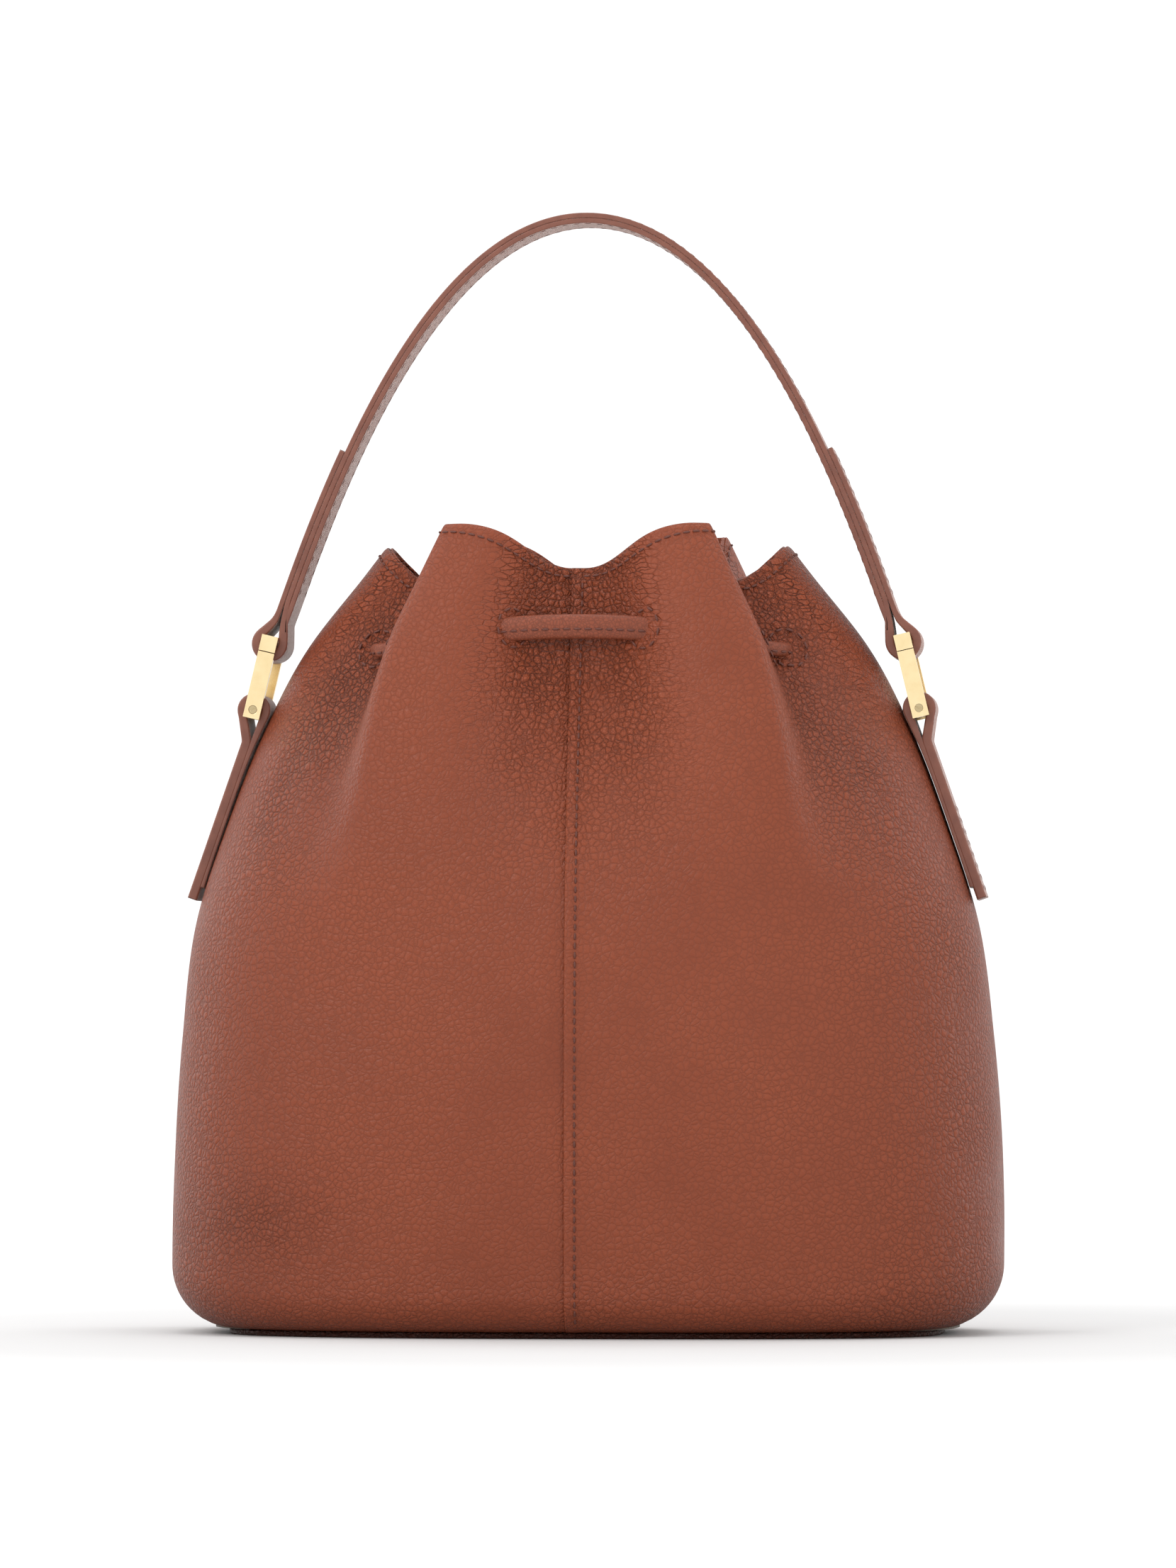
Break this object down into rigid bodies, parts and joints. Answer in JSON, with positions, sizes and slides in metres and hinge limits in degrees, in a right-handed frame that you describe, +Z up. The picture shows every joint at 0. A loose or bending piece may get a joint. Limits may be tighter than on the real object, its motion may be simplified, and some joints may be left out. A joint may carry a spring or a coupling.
{
  "type": "bucket bag",
  "caption": "Leather bucket bag with a gathered drawcord mouth, a sliding cord keeper and a short arched handle held by hinged screw-bar clips.",
  "frame": {"origin": "centre of the footprint on the table", "axes": "+X to the right side tab, +Y to the side where the cord ends hang, +Z up"},
  "size_m": [0.2792, 0.1608, 0.376],
  "materials": {
    "body_leather": "pebbled grain, soft sheen",
    "base_leather": "pebbled grain, darker",
    "strap_leather": "pebbled faces, smooth painted edges",
    "cord_leather": "smooth rolled leather",
    "lining": "plain woven cotton",
    "board": "matt fibre board",
    "clip_metal": "polished pale gold plate"
  },
  "bodies": {
    "bag": {"body_panel_left": "body_leather", "body_panel_right": "body_leather", "base_panel": "base_leather", "base_board": "board", "lining_wall": "lining", "lining_floor": "lining", "mouth_facing": "body_leather", "drawcord": "cord_leather", "drawcord_tail_left": "cord_leather", "drawcord_tail_right": "cord_leather", "cord_end_left": "cord_leather", "cord_end_right": "cord_leather", "tab_left": "strap_leather", "tab_right": "strap_leather", "tab_patch_left": "strap_leather", "tab_patch_right": "strap_leather"},
    "handle_carrier": {"tab_loop_left": "strap_leather", "tab_loop_right": "strap_leather"},
    "clip_left": {"clip_frame_left": "clip_metal", "clip_screw_left": "clip_metal"},
    "clip_right": {"clip_frame_right": "clip_metal", "clip_screw_right": "clip_metal"},
    "gate_left": {"clip_gate_left": "clip_metal"},
    "gate_right": {"clip_gate_right": "clip_metal"},
    "handle": {"handle_strap": "strap_leather", "handle_lining": "strap_leather"},
    "slider": {"cord_slider": "strap_leather"}
  },
  "joints": [
    {"name": "handle_tilt", "type": "hinge", "parent": "bag", "child": "handle_carrier", "pos_m": [0, 0, 0.2091], "axis": [1, 0, 0], "range_deg": [-17, 17]},
    {"name": "clip_left_swing", "type": "hinge", "parent": "handle_carrier", "child": "clip_left", "pos_m": [-0.112, 0, 0.2091], "axis": [0, 1, 0], "range_deg": [-8, 8]},
    {"name": "clip_right_swing", "type": "hinge", "parent": "handle_carrier", "child": "clip_right", "pos_m": [0.112, 0, 0.2091], "axis": [0, 1, 0], "range_deg": [-8, 8]},
    {"name": "handle_sway", "type": "hinge", "parent": "clip_left", "child": "handle", "pos_m": [-0.1067, 0, 0.2314], "axis": [0, 1, 0], "range_deg": [-9, 9]},
    {"name": "gate_left_open", "type": "hinge", "parent": "clip_left", "child": "gate_left", "pos_m": [-0.112, 0, 0.2091], "axis": [0, -1, 0], "range_deg": [0, 70]},
    {"name": "gate_right_open", "type": "hinge", "parent": "clip_right", "child": "gate_right", "pos_m": [0.112, 0, 0.2091], "axis": [0, 1, 0], "range_deg": [0, 70]},
    {"name": "slider_slide", "type": "slide", "parent": "bag", "child": "slider", "axis": [0, 0.2295, -0.9733], "range_m": [0, 0.022]}
  ],
  "couplings": [
    {"joint": "clip_right_swing", "follows": "clip_left_swing", "ratio": 1},
    {"joint": "handle_sway", "follows": "clip_left_swing", "ratio": -1.0497}
  ]
}
